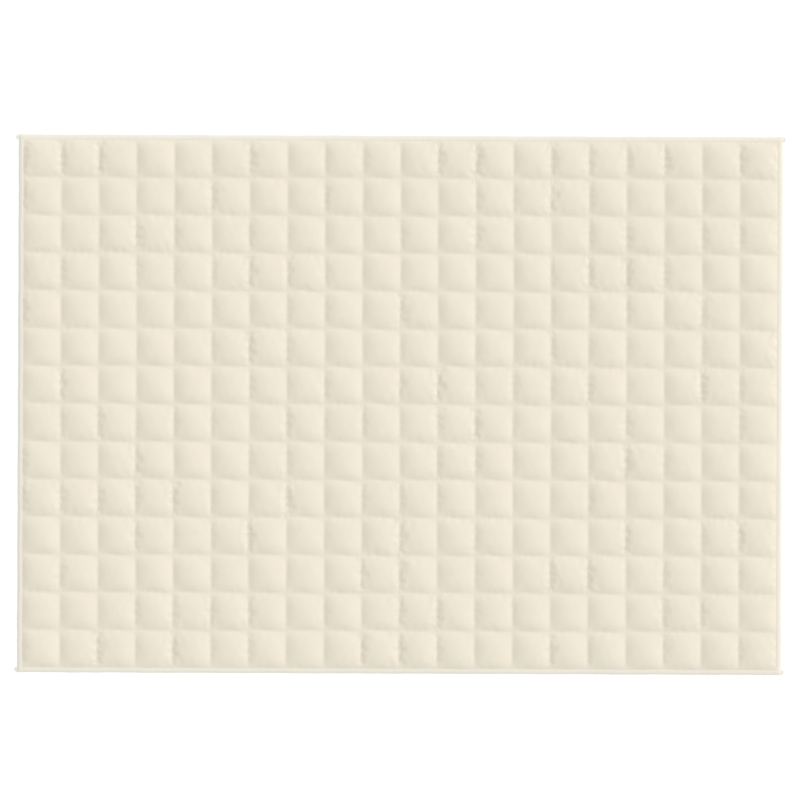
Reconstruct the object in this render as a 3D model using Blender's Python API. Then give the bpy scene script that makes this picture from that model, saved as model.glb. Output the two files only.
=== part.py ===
"""Weighted blanket lying flat: a quilted body of filled square pockets, with a bound edge.

Frame: +X along the long side, +Y along the short side, +Z up, in metres. The origin is the
middle of the blanket on the surface it lies on.
"""

import random

import bmesh
import bpy

# Driving dimensions, in metres.
COLUMNS = 20  # pockets along X
ROWS = 14  # pockets along Y
POCKET = 0.09865  # from one quilting seam to the next, both ways
BINDING_FACE = 0.0135  # width of the bound edge, seen from above
BINDING_CLOTH = 0.0012  # thickness of the folded binding cloth
EAR = 0.007  # how far a long binding's end stands past the short edge
CROWN = 0.013  # height of an average pocket's crown
SEAM_THICKNESS = 0.0025  # the layers pressed together under a seam and in the edge
GAP = 0.0003  # clearance between neighbouring pieces

# The rounding of a pocket.
SHOULDER = 0.016  # from the seam in to the pocket's first ring of points
UPPER_SHOULDER = 0.016  # from the first ring in to the second
FLAT_TOP_X = 2.3  # the higher, the flatter a pocket's top and the steeper its sides, along X
FLAT_TOP_Y = 3.0
CROWN_SPREAD = 0.0007  # pockets are filled unevenly: the most a crown differs from the average
CROWN_DRIFT = 0.004  # the most a crown lies off its pocket's middle
FILL_SEED = 14

# The underside, which the weight presses flat on the surface.
PAD_INSET = 0.011  # from the seam in to the flat that touches the surface

# The binding's outer shape.
FOLD_RADIUS = 0.002  # rounding of the fold along the outer edge
FOLD_STEPS = 2
EAR_TIP = 0.45  # width and thickness of an ear's tip, as a share of the binding's
LIP_SETBACK = 0.0005  # the binding's inner edge stops this far short of the outermost seam

# Worked out from the above.
NET_X = COLUMNS * POCKET / 2  # the outermost seams
NET_Y = ROWS * POCKET / 2
EDGE_X = NET_X + BINDING_FACE  # the finished edges
EDGE_Y = NET_Y + BINDING_FACE
FLANGE = BINDING_FACE - BINDING_CLOTH - GAP  # the body's edge inside the binding
SEAM_LOW = BINDING_CLOTH + GAP  # underside of a seam
SEAM_HIGH = SEAM_LOW + SEAM_THICKNESS  # top of a seam
BINDING_TOP = SEAM_HIGH + GAP + BINDING_CLOTH

CREAM = (0.82, 0.75, 0.63, 1.0)
CREAM_EDGE = (0.80, 0.74, 0.63, 1.0)


def clear_scene():
    for old in list(bpy.data.objects):
        bpy.data.objects.remove(old, do_unlink=True)


def cloth_material(name, colour, roughness):
    material = bpy.data.materials.new(name)
    material.use_nodes = True
    shader = material.node_tree.nodes["Principled BSDF"]
    shader.inputs["Base Color"].default_value = colour
    shader.inputs["Roughness"].default_value = roughness
    shader.inputs["Metallic"].default_value = 0.0
    return material


def new_object(name, bm, material):
    bmesh.ops.recalc_face_normals(bm, faces=bm.faces)
    mesh = bpy.data.meshes.new(name)
    bm.to_mesh(mesh)
    bm.free()
    mesh.materials.append(material)
    made = bpy.data.objects.new(name, mesh)
    bpy.context.collection.objects.link(made)
    return made


def seam_net(bm, height):
    """A flat grid with one face for each pocket, its lines the quilting seams."""
    made = bmesh.ops.create_grid(bm, x_segments=COLUMNS, y_segments=ROWS, size=0.5)
    for vert in made["verts"]:
        vert.co = (vert.co.x * 2 * NET_X, vert.co.y * 2 * NET_Y, height)
    return [face for face in bm.faces if face.verts[0] in made["verts"]]


def puff(across, along):
    """Height of a filled pocket, 0 at its seams and 1 at its middle; both run from -1 to 1."""
    return (1 - abs(across) ** FLAT_TOP_X) * (1 - abs(along) ** FLAT_TOP_Y)


def puff_up(bm, pocket, fill):
    """Turns one flat pocket face into a crowned pocket: two rings of points and a middle."""
    centre = pocket.calc_center_median()
    corners = list(pocket.verts)
    bmesh.ops.inset_individual(bm, faces=[pocket], thickness=SHOULDER, use_even_offset=True)
    shoulder = list(pocket.verts)
    shoulder_edges = list(pocket.edges)
    bmesh.ops.inset_individual(bm, faces=[pocket], thickness=UPPER_SHOULDER, use_even_offset=True)
    upper = list(pocket.verts)
    middle = bmesh.ops.poke(bm, faces=[pocket])["verts"]
    halves = [bmesh.utils.edge_split(edge, edge.verts[0], 0.5)[1] for edge in shoulder_edges]
    for half in halves:
        split_evenly(half, corners + upper)
    height = CROWN - SEAM_HIGH + fill.uniform(-CROWN_SPREAD, CROWN_SPREAD)
    for vert in shoulder + halves + upper + middle:
        offset = (vert.co - centre) / (POCKET / 2)
        vert.co.z = SEAM_HIGH + height * puff(offset.x, offset.y)
    drift_x = fill.uniform(-CROWN_DRIFT, CROWN_DRIFT)
    drift_y = fill.uniform(-CROWN_DRIFT, CROWN_DRIFT)
    for vert in upper + middle:
        vert.co.x += drift_x
        vert.co.y += drift_y


def split_evenly(half, far_points):
    """Splits the faces at a shoulder's midpoint, from there to the seam's or upper ring's ends."""
    for far in far_points:
        for face in half.link_faces:
            if far in face.verts:
                bmesh.utils.face_split(face, half, far)
                break


def press_flat(bm, pocket):
    """Turns one flat underside face into a flat pad with sloping sides up to its seams."""
    bmesh.ops.inset_individual(bm, faces=[pocket], thickness=PAD_INSET)
    for vert in pocket.verts:
        vert.co.z = 0.0


def extend_rim(bm, height):
    """Carries the outermost seams of the net at this height outwards, as the body's thin edge."""
    rim = [e for e in bm.edges if e.is_boundary and abs(e.verts[0].co.z - height) < GAP / 2]
    made = bmesh.ops.extrude_edge_only(bm, edges=rim)["geom"]
    for vert in (item for item in made if isinstance(item, bmesh.types.BMVert)):
        if abs(vert.co.x) > NET_X - GAP:
            vert.co.x += FLANGE if vert.co.x > 0 else -FLANGE
        if abs(vert.co.y) > NET_Y - GAP:
            vert.co.y += FLANGE if vert.co.y > 0 else -FLANGE
    return [item for item in made if isinstance(item, bmesh.types.BMEdge)]


def quilted_body(material):
    bm = bmesh.new()
    fill = random.Random(FILL_SEED)
    for pocket in seam_net(bm, SEAM_HIGH):
        puff_up(bm, pocket, fill)
    top_rim = extend_rim(bm, SEAM_HIGH)
    for pocket in seam_net(bm, SEAM_LOW):
        press_flat(bm, pocket)
    low_rim = extend_rim(bm, SEAM_LOW)
    bmesh.ops.bridge_loops(bm, edges=top_rim + low_rim)
    return new_object("quilted_body", bm, material)


def box(bm, low, high):
    """A box from its lowest corner to its highest, added to bm."""
    made = bmesh.ops.create_cube(bm, size=1.0)
    for vert in made["verts"]:
        for axis in range(3):
            vert.co[axis] = high[axis] if vert.co[axis] > 0 else low[axis]


def round_fold(bm, outward, edge_at):
    """Rounds the two long edges where the binding folds over, at the finished edge."""
    fold = [
        edge
        for edge in bm.edges
        if all(abs(vert.co[outward] - edge_at) < GAP / 2 for vert in edge.verts)
        and abs(edge.verts[0].co.z - edge.verts[1].co.z) < GAP / 2
    ]
    bmesh.ops.bevel(
        bm,
        geom=fold,
        offset=FOLD_RADIUS,
        segments=FOLD_STEPS,
        profile=0.5,
        affect="EDGES",
    )


def taper_ears(bm, side):
    """Narrows the two ends of a long binding past the short edges, each to a blunt tip."""
    for end in (-1, 1):
        bmesh.ops.bisect_plane(
            bm,
            geom=bm.verts[:] + bm.edges[:] + bm.faces[:],
            plane_co=(end * EDGE_X, 0, 0),
            plane_no=(1, 0, 0),
        )
    for vert in bm.verts:
        if abs(vert.co.x) > EDGE_X + GAP:
            middle = side * (NET_Y + BINDING_FACE / 2)
            vert.co.y = middle + (vert.co.y - middle) * EAR_TIP
            vert.co.z *= EAR_TIP


def cut_slot(binding, low, high):
    """Opens the binding along its inner side for the body's thin edge."""
    bm = bmesh.new()
    box(bm, low, high)
    cutter = new_object(binding.name + "_slot", bm, binding.data.materials[0])
    cutter.hide_render = True
    cutter.display_type = "WIRE"
    slot = binding.modifiers.new("Slot", "BOOLEAN")
    slot.operation = "DIFFERENCE"
    slot.solver = "EXACT"
    slot.object = cutter


def long_binding(name, side, material):
    """Binding of a long edge, with an ear at each end. side is 1 at +Y and -1 at -Y."""
    inner, outer = sorted((side * (NET_Y + LIP_SETBACK), side * EDGE_Y))
    reach = EDGE_X + EAR
    bm = bmesh.new()
    box(bm, (-reach, inner, 0), (reach, outer, BINDING_TOP))
    round_fold(bm, 1, side * EDGE_Y)
    taper_ears(bm, side)
    binding = new_object(name, bm, material)
    slot_x = NET_X + FLANGE + GAP
    slot_y = sorted((side * (NET_Y - LIP_SETBACK), side * (NET_Y + FLANGE + GAP)))
    cut_slot(
        binding,
        (-slot_x, slot_y[0], SEAM_LOW - GAP),
        (slot_x, slot_y[1], SEAM_HIGH + GAP),
    )


def short_binding(name, side, material):
    """Binding of a short edge, between the long ones. side is 1 at +X and -1 at -X."""
    inner, outer = sorted((side * (NET_X + LIP_SETBACK), side * EDGE_X))
    reach = NET_Y + LIP_SETBACK - GAP
    bm = bmesh.new()
    box(bm, (inner, -reach, 0), (outer, reach, BINDING_TOP))
    round_fold(bm, 0, side * EDGE_X)
    binding = new_object(name, bm, material)
    slot_x = sorted((side * (NET_X - LIP_SETBACK), side * (NET_X + FLANGE + GAP)))
    cut_slot(
        binding,
        (slot_x[0], -EDGE_Y, SEAM_LOW - GAP),
        (slot_x[1], EDGE_Y, SEAM_HIGH + GAP),
    )


def main():
    clear_scene()
    quilted_body(cloth_material("quilted_cloth", CREAM, 0.85))
    tape = cloth_material("binding_cloth", CREAM_EDGE, 0.8)
    long_binding("binding_back", 1, tape)
    long_binding("binding_front", -1, tape)
    short_binding("binding_right", 1, tape)
    short_binding("binding_left", -1, tape)


main()
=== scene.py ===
"""Weighted blanket laid out flat: a filled quilt of square pockets, its folded edge tapes and its thread.

It is laid out as a Blender add-on and run as a script. Lengths are in metres, +X runs along the long side
and +Z is up. The blanket's middle is the origin, on the surface that it lies on.
"""
import math

import bpy
import numpy as np
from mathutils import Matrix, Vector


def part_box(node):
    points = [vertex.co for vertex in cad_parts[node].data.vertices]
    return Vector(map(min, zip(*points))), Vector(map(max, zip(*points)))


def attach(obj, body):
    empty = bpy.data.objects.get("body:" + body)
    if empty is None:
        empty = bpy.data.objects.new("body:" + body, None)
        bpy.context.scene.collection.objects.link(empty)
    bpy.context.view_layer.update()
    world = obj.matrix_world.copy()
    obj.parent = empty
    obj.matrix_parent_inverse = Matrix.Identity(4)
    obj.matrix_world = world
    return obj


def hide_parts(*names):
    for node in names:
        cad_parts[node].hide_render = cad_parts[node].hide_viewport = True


bl_info = {
    "name": "Weighted Blanket",
    "version": (1, 0, 0),
    "blender": (4, 5, 0),
    "location": "3D View > Sidebar > Blanket",
    "description": "Dresses a weighted blanket's solids with its filled quilt, edge tapes and sewing thread",
    "category": "Object",
}

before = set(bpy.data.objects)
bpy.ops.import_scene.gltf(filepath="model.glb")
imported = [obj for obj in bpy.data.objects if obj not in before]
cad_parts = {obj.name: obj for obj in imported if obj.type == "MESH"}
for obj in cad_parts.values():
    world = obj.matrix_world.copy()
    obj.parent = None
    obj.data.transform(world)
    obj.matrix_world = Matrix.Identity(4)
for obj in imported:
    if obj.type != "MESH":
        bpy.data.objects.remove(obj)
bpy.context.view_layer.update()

BACK_LOW, BACK_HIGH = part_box("binding_back")
RIGHT_LOW, RIGHT_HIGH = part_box("binding_right")

NET_X = RIGHT_LOW.x  # half the length of the sewn pockets, which fill the space inside the tapes
NET_Y = BACK_LOW.y
EDGE_X = RIGHT_HIGH.x  # half the length over the tapes, without the ears
EDGE_Y = BACK_HIGH.y
EAR_X = BACK_HIGH.x  # half the length over the ears


class QuiltSizes(bpy.types.PropertyGroup):
    """Sizes and colour of the filled quilt"""

    columns: bpy.props.IntProperty(name="Columns", description="Pockets along the length", default=20, min=1)
    rows: bpy.props.IntProperty(name="Rows", description="Pockets across the width", default=14, min=1)
    crown: bpy.props.FloatProperty(
        name="Crown",
        description="Height of a pocket's middle above its seams",
        default=0.0088,
        subtype="DISTANCE",
    )
    seam_low: bpy.props.FloatProperty(
        name="Seam underside",
        description="Height of the seams' underside",
        default=0.0015,
        subtype="DISTANCE",
    )
    seam_high: bpy.props.FloatProperty(
        name="Seam top", description="Height of the seams' upper side", default=0.004, subtype="DISTANCE"
    )
    rim_low: bpy.props.FloatProperty(
        name="Rim underside", description="Height of the rim's underside", default=0.0013, subtype="DISTANCE"
    )
    rim_high: bpy.props.FloatProperty(
        name="Rim top",
        description="Height of the rim's upper side, at the outermost seams",
        default=0.0033,
        subtype="DISTANCE",
    )
    wander_up: bpy.props.FloatProperty(
        name="Wander across",
        description="How far the seams along Y stray from straight",
        default=0.0007,
        subtype="DISTANCE",
    )
    wander_cross: bpy.props.FloatProperty(
        name="Wander along",
        description="How far the seams along X stray from straight",
        default=0.0011,
        subtype="DISTANCE",
    )
    sag: bpy.props.FloatProperty(
        name="Sag",
        description="How far a seam along X drops towards +X within a pocket",
        default=0.001,
        subtype="DISTANCE",
    )
    gather: bpy.props.FloatProperty(
        name="Gather",
        description="Spare cloth along the seams, as a share of its length",
        default=0.06,
        subtype="FACTOR",
    )
    colour: bpy.props.FloatVectorProperty(
        name="Cover",
        description="Colour of the cover",
        default=(0.737, 0.682, 0.564),
        size=3,
        subtype="COLOR",
    )


class TapeSizes(bpy.types.PropertyGroup):
    """Sizes and colour of the folded edge tapes"""

    thickness: bpy.props.FloatProperty(
        name="Cloth", description="Thickness of the tape's cloth", default=0.0003, subtype="DISTANCE"
    )
    rise: bpy.props.FloatProperty(
        name="Rise",
        description="How far the tape bulges between its lip and its fold",
        default=0.0001,
        subtype="DISTANCE",
    )
    ripple: bpy.props.FloatProperty(
        name="Ripple", description="Height of the ripples along the tape", default=0.0002, subtype="DISTANCE"
    )
    colour: bpy.props.FloatVectorProperty(
        name="Tape",
        description="Colour of the tape",
        default=(0.748, 0.716, 0.624),
        size=3,
        subtype="COLOR",
    )


class ThreadSizes(bpy.types.PropertyGroup):
    """Sizes and colour of the sewing thread"""

    per_pocket: bpy.props.IntProperty(
        name="Stitches", description="Stitches along a pocket's side", default=28, min=1
    )
    thickness: bpy.props.FloatProperty(
        name="Thread", description="Thickness of the thread", default=0.0004, subtype="DISTANCE"
    )
    seam_colour: bpy.props.FloatVectorProperty(
        name="Seam thread",
        description="Colour of the seams' thread",
        default=(0.76, 0.71, 0.6),
        size=3,
        subtype="COLOR",
    )
    tape_colour: bpy.props.FloatVectorProperty(
        name="Tape thread",
        description="Colour of the tapes' thread",
        default=(0.86, 0.83, 0.74),
        size=3,
        subtype="COLOR",
    )


class StageSizes(bpy.types.PropertyGroup):
    """Camera, light and floor"""

    camera_height: bpy.props.FloatProperty(
        name="Camera height",
        description="Height of the camera above the floor",
        default=6.0,
        subtype="DISTANCE",
    )
    view_width: bpy.props.FloatProperty(
        name="View width",
        description="Width of floor that the camera sees",
        default=2.0954,
        subtype="DISTANCE",
    )
    camera_x: bpy.props.FloatProperty(
        name="Camera X", description="Camera's place along the length", default=-0.0003, subtype="DISTANCE"
    )
    camera_y: bpy.props.FloatProperty(
        name="Camera Y",
        description="Camera's place across the width",
        default=0.0121,
        subtype="DISTANCE",
    )
    camera_roll: bpy.props.FloatProperty(
        name="Roll",
        description="Turn of the camera about its view",
        default=math.radians(0.22),
        subtype="ANGLE",
    )
    key_strength: bpy.props.FloatProperty(
        name="Key light", description="Strength of the key light", default=1.71
    )
    fill_strength: bpy.props.FloatProperty(
        name="Fill light", description="Strength of the light from all round", default=0.85
    )
    floor_glow: bpy.props.FloatProperty(
        name="Floor glow",
        description="Light from behind the white floor, which fills the shadows",
        default=0.03,
    )
    floor_colour: bpy.props.FloatVectorProperty(
        name="Floor",
        description="Colour of the floor",
        default=(0.93, 0.93, 0.93),
        size=3,
        subtype="COLOR",
    )


# How the cover and the lining are laid out
COVER_QUADS = 18  # faces along a pocket's side in the cover
LINING_QUADS = 4  # and in the lining under it
SQUEEZE = 0.2  # how far the faces crowd towards the seams, from 0 to 1
PAD_EDGE = 0.11  # share of a pocket's side that slopes from a seam down to the flat pad
RIM_REACH = 0.005  # how far in from the outermost seams the quilt comes down to its rim
RIM_WIDTH = 0.0045  # how far the rim reaches out inside the tapes
RIM_PRESSED = 0.72  # height of the rim's outer edge there, as a share of its height at the seams

# How the seams stray: each wave's radians a pocket along X, its radians a pocket along Y, and its height
WANDER_X = ((2.39, 0.83, 1.0), (1.3, 4.1, 0.6))
WANDER_Y = ((-0.71, 2.05, 1.0), (3.7, -1.9, 0.6))
SAG_CHANGES = ((1.9, 3.1, 0.8),)
WANDER_FADE = 0.25  # power of the fade to nothing at the edges

# The filling
DOME_X = (2.35, 1.08)  # how flat a pocket's middle is along X, and the power that rounds its edges
DOME_Y = (3.0, 1.05)
CROWN_SPREAD = 0.08  # how much the pockets' heights differ, as a share
LEAN_X, LEAN_Y = -0.06, -0.02  # how far the filling has settled to one side, on the whole
LEAN_SPREAD = 0.08  # and how much the pockets differ in it
FILL_SEED = 14
LUMP_HEIGHT = 0.0001  # of each of the waves that make the filling's lumps
LUMP_WAVES = 9
LUMP_LENGTHS = (0.22, 0.5)  # in pockets
LUMP_SEED = 6

# Puckers: short troughs across the seams
PUCKER_SEED = 27
FEWEST_PUCKERS, MOST_PUCKERS = 3, 5  # along one side of a pocket
UP_PUCKERS, CROSS_PUCKERS = 1.0, 0.2  # how strong they are on the seams along Y, and along X
PUCKER_UNEVENNESS = 3.0  # the higher it is, the fewer seams are strongly puckered
PUCKER_JITTER = 0.002
PUCKER_SLANT = 0.35
PUCKER_WIDTH = 0.0033
PUCKER_WIDTHS = (0.7, 1.5)  # as shares of that width
PUCKER_PEAK = 0.008  # distance from the seam at which a pucker is deepest
PUCKER_REACH = 0.024
PUCKER_DEPTH = 0.0022
PUCKER_DEPTHS = (0.1, 1.0)  # as shares of that depth

# Cloth simulation
GATHER_REACH = 0.012  # how far from a seam the spare cloth lies
CLOTH_FRAMES = 20
CLOTH_PRESSURE = 4.0
CLOTH_STIFFNESS = 15.0
CLOTH_SHEAR = CLOTH_STIFFNESS / 3
CLOTH_BENDING = 1.0
CLOTH_MASS = 0.15
MOST_MOVE = 0.004  # cap on how far a point of the cover moves
WEIGHT_LEVELS = 20  # steps of the vertex groups' weights

# Cloth's finish: the scale and the height of each pattern
CLOTH_ROUGHNESS = 0.88
MOTTLE_SCALE, MOTTLE_DETAIL = 9.0, 4.0
CRUMPLE_SCALE, CRUMPLE_HEIGHT = 85.0, 0.001
NAP_SCALE, NAP_HEIGHT, NAP_STRENGTH = 900.0, 0.0002, 0.35
WEAVE_SPACING, WEAVE_HEIGHT, WEAVE_STRENGTH = 0.00045, 0.0001, 0.3
WAVE_TURN = 20  # radians that a Wave Texture turns through in one unit, at a scale of 1
COVER_MOTTLE, COVER_CRUMPLE = 0.012, 0.35
TAPE_MOTTLE, TAPE_CRUMPLE = 0.015, 0.12

# Creases across the seams that are too fine for the cover's faces
CREASE_STRETCH = (2.2, 5.5)  # creases to a pocket's side, along a crease and from one to the next
CREASE_REACH = ((0.0, 0.0), (0.05, 1.0), (0.11, 0.8), (0.24, 0.0))  # place in pockets, and depth there
CREASE_FOLDS = ((0.45, 0.0), (0.62, 1.0))
CREASE_DEPTH = 0.001

# Thread
STITCH_SEAT = 0.45  # height of a stitch's middle above the cloth, in thicknesses of the thread
STITCH_LENGTH = 0.86  # of the distance from one stitch to the next
STITCH_SIDES = 4
STITCH_TAPER = 0.6  # width of a stitch's ends, as a share of its middle's
STITCH_DIVE = 0.7  # how far its ends dive, in thicknesses of the thread
THREAD_ROUGHNESS = 0.6
THREAD_MOTTLE, THREAD_MOTTLE_SCALE = 0.04, 400.0
TWIST_SCALE, TWIST_HEIGHT, TWIST_STRENGTH = 6000.0, 0.0001, 0.4

# Tapes
LIP_STEP = 0.00005  # how far the lip's upper side stands above the outermost seam
LIP_INSET = 0.0005  # how far the tape's lip lies outwards from its solid's, past the outermost seam
FOLD_HEIGHT = 0.0010  # of the upper side where it meets the fold along the edge
SLOPE = 3.2  # above 1, the upper side is flatter at the lip than at the fold
LOWER_STEPS, FOLD_STEPS, UPPER_STEPS = 5, 6, 9  # faces across the lower side, the fold and the upper side
LIP_ROUND = 0.0004  # the lip's last stretch, which keeps its corner crisp
TOPSTITCH_INSET = 0.0019
TOPSTITCH_SINK = 0.00008
TOPSTITCH_WIDTH = 0.0011
TAPE_STEP = 0.003
END_CROWDING = 0.6  # how far the faces crowd towards a tape's ends, from 0 to 1
TUCK = 0.003  # length of a short tape that is tucked in under the long one
TUCK_DROP = 0.12  # how much lower its tucked end is, as a share of its height
EAR_PINCH = 0.5  # width of an ear's tip, as a share of the tape's
EAR_SHUT = 1.2  # height of its tip, in thicknesses of the tape
EAR_CLOSES = 0.0025  # distance before and past the short edge over which the tape is pressed shut
EAR_SHIFT = 0.0012  # how far its tip is drawn inwards
RIPPLE_LENGTH = 0.021
RIPPLE_DRIFT = (2.1, 23)  # radians by which they draw apart and together, and radians a metre of that
RIPPLE_FADE = (0.6, 11)  # share by which they come and go, and radians a metre of that
SWAYS = ((0.0003, 31, 0.7), (0.0002, 97, 0.0))  # of the tape: each one's reach, radians a metre and start

# Stage
FLOOR_SIZE = 24.0
FLOOR_DROP = 0.0003  # how far the floor lies under the blanket
KEY_FROM = (4.2, 2.2, 3.0)
KEY_SOFTNESS = math.radians(35)
CAMERA_REACH = 60.0  # how far the camera sees


def deselect_all():
    if bpy.context.mode != "OBJECT":
        bpy.ops.object.mode_set(mode="OBJECT")
    bpy.ops.object.select_all(action="DESELECT")


def select_only(*objects):
    deselect_all()
    for item in objects:
        item.select_set(True)
    bpy.context.view_layer.objects.active = objects[0]


def points_of(piece):
    """The piece's vertex positions as an array with a row for each vertex."""
    flat = np.zeros(len(piece.data.vertices) * 3, np.float32)
    piece.data.vertices.foreach_get("co", flat)
    return flat.reshape(-1, 3).astype(np.float64)


def move_points(piece, points):
    piece.data.vertices.foreach_set("co", points.astype(np.float32).ravel())
    piece.data.update()


def soften(piece):
    """Shades the piece smooth."""
    select_only(piece)
    bpy.ops.object.shade_smooth()


# ---------------------------------------------------------------- materials


def new_material(name, colour, roughness):
    """A Principled material, with its node tree and its shader."""
    material = bpy.data.materials.new(name)
    material.use_nodes = True
    tree = material.node_tree
    shader = tree.nodes["Principled BSDF"]
    shader.inputs["Base Color"].default_value = (*colour, 1.0)
    shader.inputs["Roughness"].default_value = roughness
    return material, tree, shader


def noise(tree, coordinates, scale, detail):
    node = tree.nodes.new("ShaderNodeTexNoise")
    node.inputs["Scale"].default_value = scale
    node.inputs["Detail"].default_value = detail
    tree.links.new(coordinates, node.inputs["Vector"])
    return node.outputs["Fac"]


def calculate(tree, operation, first, second):
    """The result of one Math node. The second input is a socket or a number."""
    node = tree.nodes.new("ShaderNodeMath")
    node.operation = operation
    tree.links.new(first, node.inputs[0])
    if isinstance(second, float):
        node.inputs[1].default_value = second
    else:
        tree.links.new(second, node.inputs[1])
    return node.outputs[0]


def weave_height(tree, coordinates, spacing):
    """Height of a plain weave: warp and weft threads, one band of them each way."""
    bands = []
    for direction in ("X", "Y"):
        wave = tree.nodes.new("ShaderNodeTexWave")
        wave.bands_direction = direction
        wave.inputs["Scale"].default_value = 2 * math.pi / (WAVE_TURN * spacing)
        wave.inputs["Distortion"].default_value = 0.6
        wave.inputs["Detail Scale"].default_value = 0.02
        tree.links.new(coordinates, wave.inputs["Vector"])
        bands.append(wave.outputs["Fac"])
    return calculate(tree, "ADD", *bands)


def bump(tree, height, distance, strength, after=None):
    node = tree.nodes.new("ShaderNodeBump")
    node.inputs["Distance"].default_value = distance
    node.inputs["Strength"].default_value = strength
    tree.links.new(height, node.inputs["Height"])
    if after is not None:
        tree.links.new(after, node.inputs["Normal"])
    return node.outputs["Normal"]


def mottled(tree, colour, spots, share):
    """The colour, made lighter and darker by up to the share where the spots say."""
    ramp = tree.nodes.new("ShaderNodeValToRGB")
    dark, light = ramp.color_ramp.elements
    dark.position, light.position = 0.3, 0.7
    dark.color = (*(channel * (1 - share) for channel in colour), 1.0)
    light.color = (*(channel * (1 + share) for channel in colour), 1.0)
    tree.links.new(spots, ramp.inputs["Fac"])
    return ramp.outputs["Color"]


def map_axes(tree, name):
    """The vector of a UV map, and its two axes."""
    place = tree.nodes.new("ShaderNodeUVMap")
    place.uv_map = name
    axes = tree.nodes.new("ShaderNodeSeparateXYZ")
    tree.links.new(place.outputs["UV"], axes.inputs["Vector"])
    return place.outputs["UV"], axes.outputs["X"], axes.outputs["Y"]


def eased_ramp(tree, value, stops):
    """The value turned into a smooth run of heights, given as (place, height) pairs."""
    ramp = tree.nodes.new("ShaderNodeValToRGB")
    ramp.color_ramp.interpolation = "B_SPLINE"
    while len(ramp.color_ramp.elements) < len(stops):
        ramp.color_ramp.elements.new(0.5)
    for element, (place, height) in zip(ramp.color_ramp.elements, stops):
        element.position = place
        element.color = (height, height, height, 1.0)
    tree.links.new(value, ramp.inputs["Fac"])
    return ramp.outputs["Color"]


def crease_relief(tree):
    """Normal with short creases across the seams, where the quilt's UV maps say that it is gathered."""
    pockets, across, along = map_axes(tree, "pockets")
    _, up, cross = map_axes(tree, "puckers")
    heights = []
    ways = ((across, up, CREASE_STRETCH), (along, cross, CREASE_STRETCH[::-1]))
    for seam_way, strength, stretch in ways:
        beside = calculate(tree, "PINGPONG", seam_way, 0.5)
        reach = eased_ramp(tree, beside, CREASE_REACH)
        stretched = tree.nodes.new("ShaderNodeVectorMath")
        stretched.operation = "MULTIPLY"
        stretched.inputs[1].default_value = (*stretch, 1.0)
        tree.links.new(pockets, stretched.inputs[0])
        folds = eased_ramp(tree, noise(tree, stretched.outputs["Vector"], 1.0, 1.0), CREASE_FOLDS)
        deep = calculate(tree, "MULTIPLY", reach, folds)
        heights.append(calculate(tree, "MULTIPLY", deep, strength))
    total = calculate(tree, "ADD", *heights)
    return bump(tree, calculate(tree, "MULTIPLY", total, -1.0), CREASE_DEPTH, 1.0)


def cloth_material(name, colour, mottle, crumple, relief=None):
    """Soft brushed cotton: a fine weave, a faint nap and slightly uneven dye."""
    material, tree, shader = new_material(name, colour, CLOTH_ROUGHNESS)
    shader.inputs["Sheen Weight"].default_value = 0.12
    shader.inputs["Sheen Roughness"].default_value = 0.45
    shader.inputs["Specular IOR Level"].default_value = 0.25
    place = tree.nodes.new("ShaderNodeTexCoord").outputs["Object"]
    spots = noise(tree, place, MOTTLE_SCALE, MOTTLE_DETAIL)
    tree.links.new(mottled(tree, colour, spots, mottle), shader.inputs["Base Color"])
    start = relief(tree) if relief else None
    crumpled = bump(tree, noise(tree, place, CRUMPLE_SCALE, 3.0), CRUMPLE_HEIGHT, crumple, start)
    napped = bump(tree, noise(tree, place, NAP_SCALE, 2.0), NAP_HEIGHT, NAP_STRENGTH, crumpled)
    weave = weave_height(tree, place, WEAVE_SPACING)
    tree.links.new(bump(tree, weave, WEAVE_HEIGHT, WEAVE_STRENGTH, napped), shader.inputs["Normal"])
    return material


def quilt_material(sizes):
    """The cover's cotton, creased across its gathered seams."""
    return cloth_material("quilted_cotton", sizes.colour, COVER_MOTTLE, COVER_CRUMPLE, crease_relief)


def thread_material(name, colour):
    """Spun polyester thread, twisted along its run."""
    material, tree, shader = new_material(name, colour, THREAD_ROUGHNESS)
    shader.inputs["Sheen Weight"].default_value = 0.1
    place = tree.nodes.new("ShaderNodeTexCoord").outputs["Object"]
    spots = noise(tree, place, THREAD_MOTTLE_SCALE, 2.0)
    tree.links.new(mottled(tree, colour, spots, THREAD_MOTTLE), shader.inputs["Base Color"])
    twist = noise(tree, place, TWIST_SCALE, 1.0)
    tree.links.new(bump(tree, twist, TWIST_HEIGHT, TWIST_STRENGTH), shader.inputs["Normal"])
    return material


# ---------------------------------------------------------------- the quilt


def sewn_net(name, sizes, quads, height):
    """A flat grid over all the pockets, with this many faces along a pocket's side, and its net places.

    The net places are each point's whole steps along and across the grid, from the front left corner.
    """
    deselect_all()
    bpy.ops.mesh.primitive_grid_add(
        x_subdivisions=sizes.columns * quads,
        y_subdivisions=sizes.rows * quads,
        size=1.0,
        calc_uvs=False,
        location=(0, 0, height),
    )
    net = bpy.context.object
    net.name = name
    net.scale = (2 * NET_X, 2 * NET_Y, 1.0)
    bpy.ops.object.transform_apply(location=True, rotation=False, scale=True)
    flat = points_of(net)
    steps_x = np.rint((flat[:, 0] / NET_X + 1) / 2 * sizes.columns * quads).astype(int)
    steps_y = np.rint((flat[:, 1] / NET_Y + 1) / 2 * sizes.rows * quads).astype(int)
    return net, steps_x, steps_y


def lay_map(piece, name, u, v):
    """Adds a UV map that holds these two values for each vertex."""
    corners = np.zeros(len(piece.data.loops), np.int32)
    piece.data.loops.foreach_get("vertex_index", corners)
    layer = piece.data.uv_layers.new(name=name)
    layer.data.foreach_set("uv", np.column_stack((u, v))[corners].astype(np.float32).ravel())


def eased(steps, quads):
    """Place in pockets along one side of the net, with the faces crowded towards the seams."""
    inside = (steps % quads) / quads
    return steps // quads + inside - SQUEEZE * np.sin(2 * np.pi * inside) / (2 * np.pi)


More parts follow.
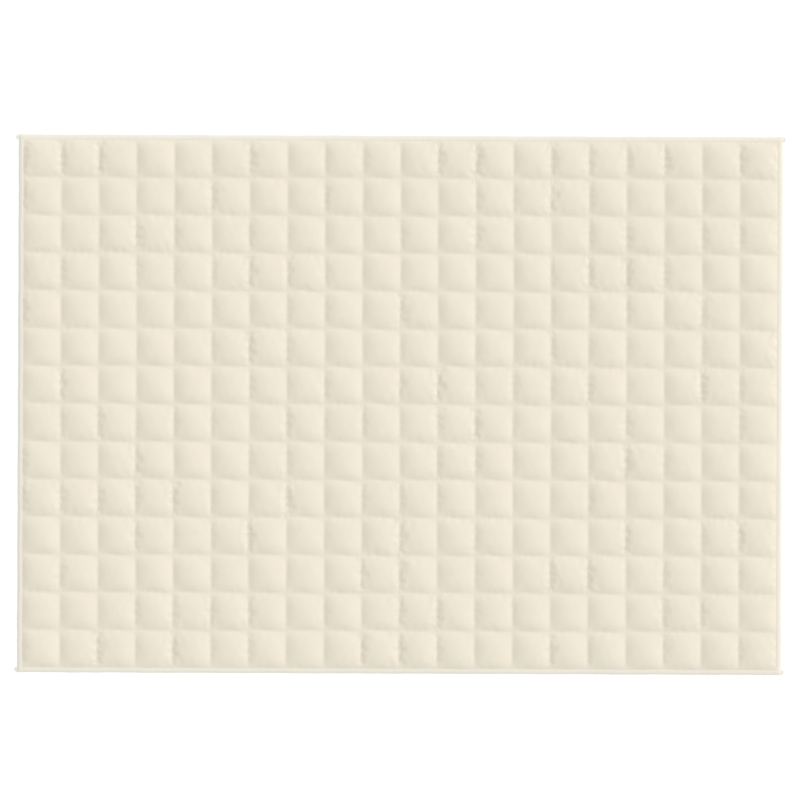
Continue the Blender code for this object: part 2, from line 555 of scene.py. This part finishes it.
def waves(across, along, terms):
    """The sum of some waves over the net."""
    return sum(height * np.sin(turn_x * across + turn_y * along) for turn_x, turn_y, height in terms)


def lay_seams(sizes, across, along):
    """Where a point of the net lies, from its place in pockets: the seams wander a little from straight."""
    hold_x = np.sin(np.pi * across / sizes.columns) ** WANDER_FADE
    hold_y = np.sin(np.pi * along / sizes.rows) ** WANDER_FADE
    hold = np.nan_to_num(np.clip(hold_x * hold_y, 0, 1))
    stray_x = waves(across, along, WANDER_X)
    stray_y = waves(across, along, WANDER_Y)
    drop = np.sin(2 * np.pi * across) * (1 + waves(across, along, SAG_CHANGES))
    x = (across / sizes.columns * 2 - 1) * NET_X + sizes.wander_up * hold * stray_x
    y = (along / sizes.rows * 2 - 1) * NET_Y + hold * (sizes.wander_cross * stray_y + sizes.sag * drop)
    return x, y


def seam_level(sizes, across, along, inside, rim):
    """Height of the sewn layers at each point: it eases to the rim's height at the outermost seams."""
    pitch = 2 * NET_X / sizes.columns
    from_rim_x = np.minimum(across, sizes.columns - across) * pitch
    from_rim_y = np.minimum(along, sizes.rows - along) * pitch
    near = np.exp(-((np.minimum(from_rim_x, from_rim_y) / RIM_REACH) ** 2))
    return inside + (rim - inside) * near


def lumps(across, along):
    """Height of the filling's lumps at each point: waves that run in all directions."""
    rng = np.random.default_rng(LUMP_SEED)
    total = np.zeros(len(across))
    for _ in range(LUMP_WAVES):
        heading = rng.uniform(0, math.pi)
        length = rng.uniform(*LUMP_LENGTHS)
        start = rng.uniform(0, 2 * math.pi)
        run = across * math.cos(heading) + along * math.sin(heading)
        total += np.sin(2 * math.pi * run / length + start)
    return LUMP_HEIGHT * total


def fill_heights(sizes, across, along):
    """Height above the seams of each point of the cover, from the filling alone."""
    rng = np.random.default_rng(FILL_SEED)
    pockets = (sizes.columns, sizes.rows)
    crowns = sizes.crown * (1 + rng.uniform(-CROWN_SPREAD, CROWN_SPREAD, pockets))
    lean_x = LEAN_X + rng.uniform(-LEAN_SPREAD, LEAN_SPREAD, pockets)
    lean_y = LEAN_Y + rng.uniform(-LEAN_SPREAD, LEAN_SPREAD, pockets)
    column = np.clip(across.astype(int), 0, sizes.columns - 1)
    row = np.clip(along.astype(int), 0, sizes.rows - 1)
    u = 2 * (across - column) - 1
    v = 2 * (along - row) - 1
    flat_x, round_x = DOME_X
    flat_y, round_y = DOME_Y
    dome_x = np.clip(1 - np.abs(u) ** flat_x, 0, None) ** round_x
    dome_y = np.clip(1 - np.abs(v) ** flat_y, 0, None) ** round_y
    lean = 1 + lean_x[column, row] * u + lean_y[column, row] * v
    return (crowns[column, row] * lean + lumps(across, along)) * dome_x * dome_y


def pucker_depths(sizes, across, along, strengths):
    """Depth of the puckers at each point, for the seams that run along the second direction.

    strengths has a row for each seam and a column for each pocket along it, from 0, smooth, to 1.
    """
    rng = np.random.default_rng(PUCKER_SEED + strengths.shape[0])
    pitch = 2 * NET_X / sizes.columns
    depths = np.zeros(len(across))
    seam = np.rint(across).astype(int)
    distance = np.abs(across - seam) * pitch
    ramp = distance / PUCKER_PEAK * np.exp(1 - distance / PUCKER_PEAK)
    near = distance < PUCKER_REACH
    pocket = np.clip(along.astype(int), 0, strengths.shape[1] - 1)
    for line in range(strengths.shape[0]):
        on_line = near & (seam == line)
        for cell in range(strengths.shape[1]):
            chosen = np.nonzero(on_line & (pocket == cell))[0]
            run = (along[chosen] - cell) * pitch
            count = rng.integers(FEWEST_PUCKERS, MOST_PUCKERS + 1)
            for place in range(count):
                middle = (place + 0.5) * pitch / count + rng.uniform(-1, 1) * PUCKER_JITTER
                slant = rng.uniform(-PUCKER_SLANT, PUCKER_SLANT)
                width = PUCKER_WIDTH * rng.uniform(*PUCKER_WIDTHS)
                depth = PUCKER_DEPTH * strengths[line, cell] * rng.uniform(*PUCKER_DEPTHS)
                offset = run - middle - slant * (across[chosen] - line) * pitch
                depths[chosen] += depth * np.exp(-((offset / width) ** 2)) * ramp[chosen]
    return depths


def weigh(piece, name, weights):
    """Adds a vertex group that holds these weights, rounded to a few levels."""
    group = piece.vertex_groups.new(name=name)
    levels = np.rint(weights * WEIGHT_LEVELS).astype(int)
    for level in range(WEIGHT_LEVELS + 1):
        members = [int(i) for i in np.nonzero(levels == level)[0]]
        if members:
            group.add(members, level / WEIGHT_LEVELS, "REPLACE")
    return group.name


def inflate(cover, seams, smoothness, lowest, sizes):
    """Lets the filling press the cloth up between its seams, with spare cloth gathered beside them."""
    before = points_of(cover)
    pinned = weigh(cover, "seams", seams.astype(float))
    smooth = weigh(cover, "smoothness", smoothness)
    cloth = cover.modifiers.new("Cloth", "CLOTH")
    fabric = cloth.settings
    fabric.mass = CLOTH_MASS
    fabric.tension_stiffness = CLOTH_STIFFNESS
    fabric.compression_stiffness = CLOTH_STIFFNESS
    fabric.shear_stiffness = CLOTH_SHEAR
    fabric.bending_stiffness = CLOTH_BENDING
    fabric.use_pressure = True
    fabric.uniform_pressure_force = CLOTH_PRESSURE
    fabric.vertex_group_mass = pinned
    fabric.vertex_group_shrink = smooth
    fabric.shrink_min = -sizes.gather
    fabric.effector_weights.gravity = 0.0
    cloth.collision_settings.use_collision = False
    cloth.point_cache.frame_end = CLOTH_FRAMES
    scene = bpy.context.scene
    for step in range(1, CLOTH_FRAMES + 1):
        scene.frame_set(step)
    select_only(cover)
    bpy.ops.object.modifier_apply(modifier=cloth.name)
    scene.frame_set(1)
    cover.vertex_groups.clear()
    moved = points_of(cover) - before
    length = np.linalg.norm(moved, axis=1, keepdims=True)
    after = before + moved * np.minimum(1.0, MOST_MOVE / np.maximum(length, 1e-9))
    after[:, 2] = np.maximum(after[:, 2], lowest)
    move_points(cover, after)


def filled_cover(sizes):
    """The upper cloth, raised by the filling of each pocket and puckered along its seams."""
    cover, steps_x, steps_y = sewn_net("quilt", sizes, COVER_QUADS, 0.0)
    across, along = eased(steps_x, COVER_QUADS), eased(steps_y, COVER_QUADS)
    seams = (steps_x % COVER_QUADS == 0) | (steps_y % COVER_QUADS == 0)
    rng = np.random.default_rng(PUCKER_SEED)
    up_seams = UP_PUCKERS * rng.uniform(0, 1, (sizes.columns + 1, sizes.rows)) ** PUCKER_UNEVENNESS
    cross_seams = CROSS_PUCKERS * rng.uniform(0, 1, (sizes.rows + 1, sizes.columns)) ** PUCKER_UNEVENNESS
    column = np.clip(across.astype(int), 0, sizes.columns - 1)
    row = np.clip(along.astype(int), 0, sizes.rows - 1)
    line_x, line_y = np.rint(across).astype(int), np.rint(along).astype(int)
    up, cross = up_seams[line_x, row], cross_seams[line_y, column]
    lay_map(cover, "pockets", across, along)
    lay_map(cover, "puckers", up, cross)
    points = points_of(cover)
    points[:, 0], points[:, 1] = lay_seams(sizes, across, along)
    heights = fill_heights(sizes, across, along)
    heights -= pucker_depths(sizes, across, along, up_seams)
    heights -= pucker_depths(sizes, along, across, cross_seams)
    level = seam_level(sizes, across, along, sizes.seam_high, sizes.rim_high)
    points[:, 2] = level + np.where(seams, 0.0, np.maximum(heights, 0.0))
    move_points(cover, points)
    pitch = 2 * NET_X / sizes.columns
    beside_x = np.exp(-(((across - line_x) * pitch / GATHER_REACH) ** 2)) * up
    beside_y = np.exp(-(((along - line_y) * pitch / GATHER_REACH) ** 2)) * cross
    beside_x *= np.sqrt(np.abs(np.sin(np.pi * along)))
    beside_y *= np.sqrt(np.abs(np.sin(np.pi * across)))
    inflate(cover, seams, 1 - np.maximum(beside_x, beside_y), level, sizes)
    return cover


def flat_lining(sizes):
    """The lower cloth: flat pads where the filling lies on the floor, with its seams a little higher."""
    lining, steps_x, steps_y = sewn_net("lining", sizes, LINING_QUADS, 0.0)
    shares = np.array([0.0, PAD_EDGE, 0.5, 1 - PAD_EDGE])
    across = steps_x // LINING_QUADS + shares[steps_x % LINING_QUADS]
    along = steps_y // LINING_QUADS + shares[steps_y % LINING_QUADS]
    seams = (steps_x % LINING_QUADS == 0) | (steps_y % LINING_QUADS == 0)
    lay_map(lining, "pockets", across, along)
    lay_map(lining, "puckers", np.zeros(len(across)), np.zeros(len(across)))
    points = points_of(lining)
    points[:, 0], points[:, 1] = lay_seams(sizes, across, along)
    points[:, 2] = np.where(seams, seam_level(sizes, across, along, sizes.seam_low, sizes.rim_low), 0.0)
    move_points(lining, points)
    return lining


def close_quilt(cover, lining):
    """Joins the two cloths, carries both out as the thin rim that the tapes hold, and closes its edge."""
    select_only(cover, lining)
    bpy.ops.object.join()
    bpy.ops.object.mode_set(mode="EDIT")
    bpy.ops.mesh.select_mode(type="EDGE")
    bpy.ops.mesh.select_all(action="DESELECT")
    bpy.ops.mesh.select_non_manifold(
        use_wire=False, use_multi_face=False, use_non_contiguous=False, use_verts=False
    )
    bpy.ops.mesh.extrude_edges_move()
    stretch = (1 + RIM_WIDTH / NET_X, 1 + RIM_WIDTH / NET_Y, RIM_PRESSED)
    bpy.ops.transform.resize(value=stretch, center_override=(0.0, 0.0, 0.0))
    bpy.ops.mesh.bridge_edge_loops()
    bpy.ops.mesh.select_all(action="SELECT")
    bpy.ops.mesh.normals_make_consistent(inside=False)
    bpy.ops.object.mode_set(mode="OBJECT")
    return bpy.context.object


class BLANKET_OT_quilt(bpy.types.Operator):
    """Sews the two cloths in square pockets and fills them"""

    bl_idname = "blanket.quilt"
    bl_label = "Filled quilt"

    def execute(self, context):
        sizes = context.scene.blanket_quilt
        cover = filled_cover(sizes)
        quilt = close_quilt(cover, flat_lining(sizes))
        soften(quilt)
        quilt.data.materials.clear()
        quilt.data.materials.append(quilt_material(sizes))
        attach(quilt, "root")
        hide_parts("quilted_body")
        return {"FINISHED"}


# ---------------------------------------------------------------- the edge tapes


def upper_height(tape, lip, share, width):
    """Height of the tape's upper side, at this share of the way from its lip to its fold."""
    stitched = (share * width - TOPSTITCH_INSET) / TOPSTITCH_WIDTH
    bulge = tape.rise * math.sin(math.pi * share) - TOPSTITCH_SINK * math.exp(-(stitched**2))
    return lip - (lip - FOLD_HEIGHT) * share**SLOPE + bulge


def tape_profile(tape, quilt, width):
    """Middle line of the folded tape, from its lower lip to its upper, as (distance outwards, height).

    Each lip lies on the quilt's rim. The lower side comes down to the floor, and the upper side slopes down
    to the tight fold along the edge.
    """
    low = tape.thickness / 2
    lip = quilt.rim_high + LIP_STEP - low
    under_lip = max(low, quilt.rim_low - low)
    radius = (FOLD_HEIGHT - low) / 2
    fold_at = width - low - radius
    line = []
    for step in range(LOWER_STEPS):
        share = step / LOWER_STEPS
        line.append((fold_at * share, low + (under_lip - low) * math.cos(math.pi / 2 * share) ** 2))
    for step in range(FOLD_STEPS + 1):
        turn = math.pi * step / FOLD_STEPS
        line.append((fold_at + radius * math.sin(turn), low + radius - radius * math.cos(turn)))
    for step in range(UPPER_STEPS - 1, -1, -1):
        share = (LIP_ROUND + (fold_at - LIP_ROUND) * step / UPPER_STEPS) / fold_at
        line.append((fold_at * share, upper_height(tape, lip, share, fold_at)))
    line.append((0.0, lip))
    return np.array(line)


def kept_height(tape, quilt, run):
    """Share of its height that a long tape keeps: at its ends it slopes down with the short tape."""
    share = np.clip((np.abs(run) - NET_X) / (EDGE_X - NET_X), 0, 1)
    low = tape.thickness / 2
    lip = quilt.rim_high + LIP_STEP - low
    return 1 - (lip - FOLD_HEIGHT) / (lip - low) * share**SLOPE


def smooth_step(value):
    """Eases from 0 to 1 as the value goes from 0 to 1."""
    value = np.clip(value, 0, 1)
    return value * value * (3 - 2 * value)


def ripples(run):
    """Ripples along a tape, from -1 to 1: they draw apart and together, and come and go."""
    drift, drift_turns = RIPPLE_DRIFT
    fade, fade_turns = RIPPLE_FADE
    strength = 1 - fade + fade * np.sin(run * fade_turns + 1) ** 2
    return np.sin(run * 2 * np.pi / RIPPLE_LENGTH + drift * np.sin(run * drift_turns)) * strength


def folded_tape(name, sizes, quilt, profile, half_length, inner, outer, ears):
    """A tape folded over the edge at +Y and sewn down, as a flat strip of cloth bent into its fold.

    A long tape ends in ears past the corners, and a short tape is tucked in under the long ones.
    """
    width = outer - inner
    steps = round(2 * half_length / TAPE_STEP)
    deselect_all()
    bpy.ops.mesh.primitive_grid_add(x_subdivisions=steps, y_subdivisions=len(profile) - 1, size=2.0)
    tape = bpy.context.object
    tape.name = name
    points = points_of(tape)
    run = half_length * (points[:, 0] + END_CROWDING * np.sin(np.pi * points[:, 0]) / np.pi)
    station = np.rint((points[:, 1] + 1) / 2 * (len(profile) - 1)).astype(int)
    out, high = profile[station, 0], profile[station, 1].copy()
    ripple = ripples(run)
    free = np.where(station > len(profile) / 2, 1.0, 0.0) * np.sin(np.pi * np.clip(out / width, 0, 1))
    high += sizes.ripple * ripple * free
    sway = sum(height * np.sin(run * turns + start) for height, turns, start in SWAYS)
    low = sizes.thickness / 2
    if ears:
        past = np.clip((np.abs(run) - EDGE_X) / (half_length - EDGE_X), 0, 1)
        closing = smooth_step((np.abs(run) - EDGE_X + EAR_CLOSES) / (2 * EAR_CLOSES))
        kept = kept_height(sizes, quilt, run)
        shut = EAR_SHUT * sizes.thickness / (profile[:, 1].max() - low)
        high = low + (high - low) * (kept + (shut - kept) * closing)
        out = width / 2 + (out - width / 2) * (1 - (1 - EAR_PINCH) * past**2) - EAR_SHIFT * past
    else:
        tucked = smooth_step((np.abs(run) - half_length + TUCK) / TUCK)
        high = low + (high - low) * (1 - TUCK_DROP * tucked)
    points[:, 0], points[:, 1], points[:, 2] = run, inner + out + sway, high
    move_points(tape, points)
    select_only(tape)
    wall = tape.modifiers.new("Cloth thickness", "SOLIDIFY")
    wall.thickness = sizes.thickness
    wall.offset = 0.0
    bpy.ops.object.modifier_apply(modifier=wall.name)
    bpy.ops.object.mode_set(mode="EDIT")
    bpy.ops.mesh.select_all(action="SELECT")
    bpy.ops.mesh.normals_make_consistent(inside=False)
    bpy.ops.object.mode_set(mode="OBJECT")
    return tape


def turn_piece(piece, angle):
    """Turns the piece's mesh about the blanket's middle."""
    select_only(piece)
    piece.rotation_euler.z = angle
    bpy.ops.object.transform_apply(location=False, rotation=True, scale=False)


class BLANKET_OT_tapes(bpy.types.Operator):
    """Folds a tape over each of the four edges"""

    bl_idname = "blanket.tapes"
    bl_label = "Edge tapes"

    def execute(self, context):
        sizes, quilt = context.scene.blanket_tape, context.scene.blanket_quilt
        finish = cloth_material("edge_tape_cotton", sizes.colour, TAPE_MOTTLE, TAPE_CRUMPLE)
        long_side = (EAR_X, NET_Y + LIP_INSET, EDGE_Y, True)
        short_side = (RIGHT_HIGH.y + TUCK, NET_X + LIP_INSET, EDGE_X, False)
        sides = (
            ("edge_tape_back", "binding_back", long_side, 0.0),
            ("edge_tape_left", "binding_left", short_side, math.pi / 2),
            ("edge_tape_front", "binding_front", long_side, math.pi),
            ("edge_tape_right", "binding_right", short_side, -math.pi / 2),
        )
        for name, node, (half_length, inner, outer, ears), angle in sides:
            profile = tape_profile(sizes, quilt, outer - inner)
            tape = folded_tape(name, sizes, quilt, profile, half_length, inner, outer, ears)
            turn_piece(tape, angle)
            soften(tape)
            tape.data.materials.append(finish)
            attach(tape, "root")
            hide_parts(node)
        return {"FINISHED"}


# ---------------------------------------------------------------- the thread


def stitch(name, sizes, pitch):
    """One stitch at the origin along X: a short run of thread whose ends dive into the cloth."""
    deselect_all()
    bpy.ops.mesh.primitive_cylinder_add(
        vertices=STITCH_SIDES,
        radius=sizes.thickness / 2,
        depth=pitch * STITCH_LENGTH,
        rotation=(0, math.pi / 2, 0),
    )
    made = bpy.context.object
    made.name = name
    bpy.ops.object.transform_apply(location=True, rotation=True, scale=True)
    bpy.ops.object.mode_set(mode="EDIT")
    bpy.ops.mesh.select_all(action="SELECT")
    bpy.ops.mesh.bisect(plane_co=(0, 0, 0), plane_no=(1, 0, 0))
    bpy.ops.object.mode_set(mode="OBJECT")
    points = points_of(made)
    ends = np.abs(points[:, 0]) > pitch / 4
    points[ends, 1:] *= STITCH_TAPER
    points[ends, 2] -= sizes.thickness * STITCH_DIVE
    move_points(made, points)
    return made


def repeat(piece, count, step):
    """Repeats the piece in a row, each copy one step from the last."""
    row = piece.modifiers.new("Row", "ARRAY")
    row.count = count
    row.use_relative_offset = False
    row.use_constant_offset = True
    row.constant_offset_displace = step
    select_only(piece)
    bpy.ops.object.modifier_apply(modifier=row.name)


def seam_thread(name, sizes, quilt, lines, pockets, pitch, turned):
    """The stitches of all the inner seams that run one way, laid on the seams as they wander."""
    step = pitch / sizes.per_pocket
    thread = stitch(name, sizes, step)
    repeat(thread, pockets * sizes.per_pocket, (step, 0, 0))
    repeat(thread, lines, (0, pitch, 0))
    points = points_of(thread)
    run = (points[:, 0] + step / 2) / pitch
    line = np.rint(points[:, 1] / pitch)
    aside, high = points[:, 1] - line * pitch, points[:, 2]
    if turned:
        across, along = line + 1, run
        x, y = lay_seams(quilt, across, along)
        points[:, 0], points[:, 1] = x - aside, y
    else:
        across, along = run, line + 1
        x, y = lay_seams(quilt, across, along)
        points[:, 0], points[:, 1] = x, y + aside
    level = seam_level(quilt, across, along, quilt.seam_high, quilt.rim_high)
    points[:, 2] = level + sizes.thickness * STITCH_SEAT + high
    move_points(thread, points)
    return thread


class BLANKET_OT_seam_thread(bpy.types.Operator):
    """Stitches the seams between the pockets"""

    bl_idname = "blanket.seam_thread"
    bl_label = "Seam thread"

    def execute(self, context):
        quilt, sizes = context.scene.blanket_quilt, context.scene.blanket_thread
        finish = thread_material("seam_thread", sizes.seam_colour)
        pitch_x, pitch_y = 2 * NET_X / quilt.columns, 2 * NET_Y / quilt.rows
        threads = (
            seam_thread("thread_along", sizes, quilt, quilt.rows - 1, quilt.columns, pitch_x, False),
            seam_thread("thread_across", sizes, quilt, quilt.columns - 1, quilt.rows, pitch_y, True),
        )
        for thread in threads:
            soften(thread)
            thread.data.materials.append(finish)
            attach(thread, "root")
        return {"FINISHED"}


class BLANKET_OT_tape_thread(bpy.types.Operator):
    """Stitches the tapes down along their inner side"""

    bl_idname = "blanket.tape_thread"
    bl_label = "Tape thread"

    def execute(self, context):
        quilt, tape = context.scene.blanket_quilt, context.scene.blanket_tape
        sizes = context.scene.blanket_thread
        step = 2 * NET_X / quilt.columns / sizes.per_pocket
        width = EDGE_Y - NET_Y - LIP_INSET
        lip_top = quilt.rim_high + LIP_STEP
        seat = upper_height(tape, lip_top, TOPSTITCH_INSET / width, width)
        runs = (
            (EDGE_X, NET_Y, 0.0),
            (RIGHT_HIGH.y, NET_X, math.pi / 2),
            (EDGE_X, NET_Y, math.pi),
            (RIGHT_HIGH.y, NET_X, -math.pi / 2),
        )
        sides = []
        for reach, inner, angle in runs:
            side = stitch("tape_thread", sizes, step)
            count = int(2 * reach / step) - 1
            repeat(side, count, (step, 0, 0))
            points = points_of(side)
            points[:, 0] -= (count - 1) * step / 2
            points[:, 1] += inner + LIP_INSET + TOPSTITCH_INSET
            on_long_tape = inner == NET_Y
            kept = kept_height(tape, quilt, points[:, 0]) if on_long_tape else 1.0
            points[:, 2] += seat * kept + sizes.thickness * STITCH_SEAT
            move_points(side, points)
            turn_piece(side, angle)
            sides.append(side)
        select_only(*sides)
        bpy.ops.object.join()
        thread = bpy.context.object
        thread.name = "tape_thread"
        soften(thread)
        thread.data.materials.append(thread_material("tape_thread", sizes.tape_colour))
        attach(thread, "root")
        return {"FINISHED"}


# ---------------------------------------------------------------- the stage


def aim(light, target):
    """Points the light at the target."""
    light.rotation_euler = (light.location - target).to_track_quat("Z", "Y").to_euler()


class BLANKET_OT_stage(bpy.types.Operator):
    """Sets the pale floor, the soft light and the camera straight above"""

    bl_idname = "blanket.stage"
    bl_label = "Floor, light and camera"

    def execute(self, context):
        sizes = context.scene.blanket_stage
        deselect_all()
        bpy.ops.mesh.primitive_plane_add(size=FLOOR_SIZE, location=(0, 0, -FLOOR_DROP))
        floor = context.object
        floor.name = "floor"
        bpy.ops.object.transform_apply(location=True, rotation=True, scale=True)
        material, _, shader = new_material("floor", sizes.floor_colour, 0.9)
        shader.inputs["Specular IOR Level"].default_value = 0.1
        shader.inputs["Emission Color"].default_value = (1.0, 1.0, 1.0, 1.0)
        shader.inputs["Emission Strength"].default_value = sizes.floor_glow
        floor.data.materials.append(material)
        bpy.ops.object.light_add(type="SUN", location=KEY_FROM)
        key = context.object
        key.name = "key_light"
        key.data.energy = sizes.key_strength
        key.data.angle = KEY_SOFTNESS
        aim(key, floor.location)
        world = bpy.data.worlds.new("studio")
        context.scene.world = world
        world.use_nodes = True
        sky = world.node_tree.nodes["Background"]
        sky.inputs["Color"].default_value = (1.0, 1.0, 1.0, 1.0)
        sky.inputs["Strength"].default_value = sizes.fill_strength
        bpy.ops.object.camera_add(location=(sizes.camera_x, sizes.camera_y, sizes.camera_height))
        camera = context.object
        camera.name = "camera"
        camera.rotation_euler.z = sizes.camera_roll
        camera.data.lens = camera.data.sensor_width * sizes.camera_height / sizes.view_width
        camera.data.clip_end = CAMERA_REACH
        context.scene.camera = camera
        context.scene.view_settings.view_transform = "Standard"
        return {"FINISHED"}


class BLANKET_PT_panel(bpy.types.Panel):
    """Builds the blanket piece by piece"""

    bl_idname = "BLANKET_PT_panel"
    bl_label = "Weighted blanket"
    bl_space_type = "VIEW_3D"
    bl_region_type = "UI"
    bl_category = "Blanket"

    def draw(self, context):
        for operator in OPERATORS:
            self.layout.operator(operator.bl_idname)
        for name, _ in GROUPS:
            sizes = getattr(context.scene, name)
            box = self.layout.box()
            for key in sizes.bl_rna.properties.keys():
                if key not in ("rna_type", "name"):
                    box.prop(sizes, key)


GROUPS = (
    ("blanket_quilt", QuiltSizes),
    ("blanket_tape", TapeSizes),
    ("blanket_thread", ThreadSizes),
    ("blanket_stage", StageSizes),
)
OPERATORS = (
    BLANKET_OT_quilt,
    BLANKET_OT_tapes,
    BLANKET_OT_seam_thread,
    BLANKET_OT_tape_thread,
    BLANKET_OT_stage,
)


def register():
    for name, group in GROUPS:
        bpy.utils.register_class(group)
        setattr(bpy.types.Scene, name, bpy.props.PointerProperty(type=group))
    for operator in OPERATORS:
        bpy.utils.register_class(operator)
    bpy.utils.register_class(BLANKET_PT_panel)


def unregister():
    bpy.utils.unregister_class(BLANKET_PT_panel)
    for operator in reversed(OPERATORS):
        bpy.utils.unregister_class(operator)
    for name, group in reversed(GROUPS):
        delattr(bpy.types.Scene, name)
        bpy.utils.unregister_class(group)


def main():
    register()
    bpy.ops.blanket.quilt()
    bpy.ops.blanket.tapes()
    bpy.ops.blanket.seam_thread()
    bpy.ops.blanket.tape_thread()
    bpy.ops.blanket.stage()


if __name__ == "__main__":
    main()
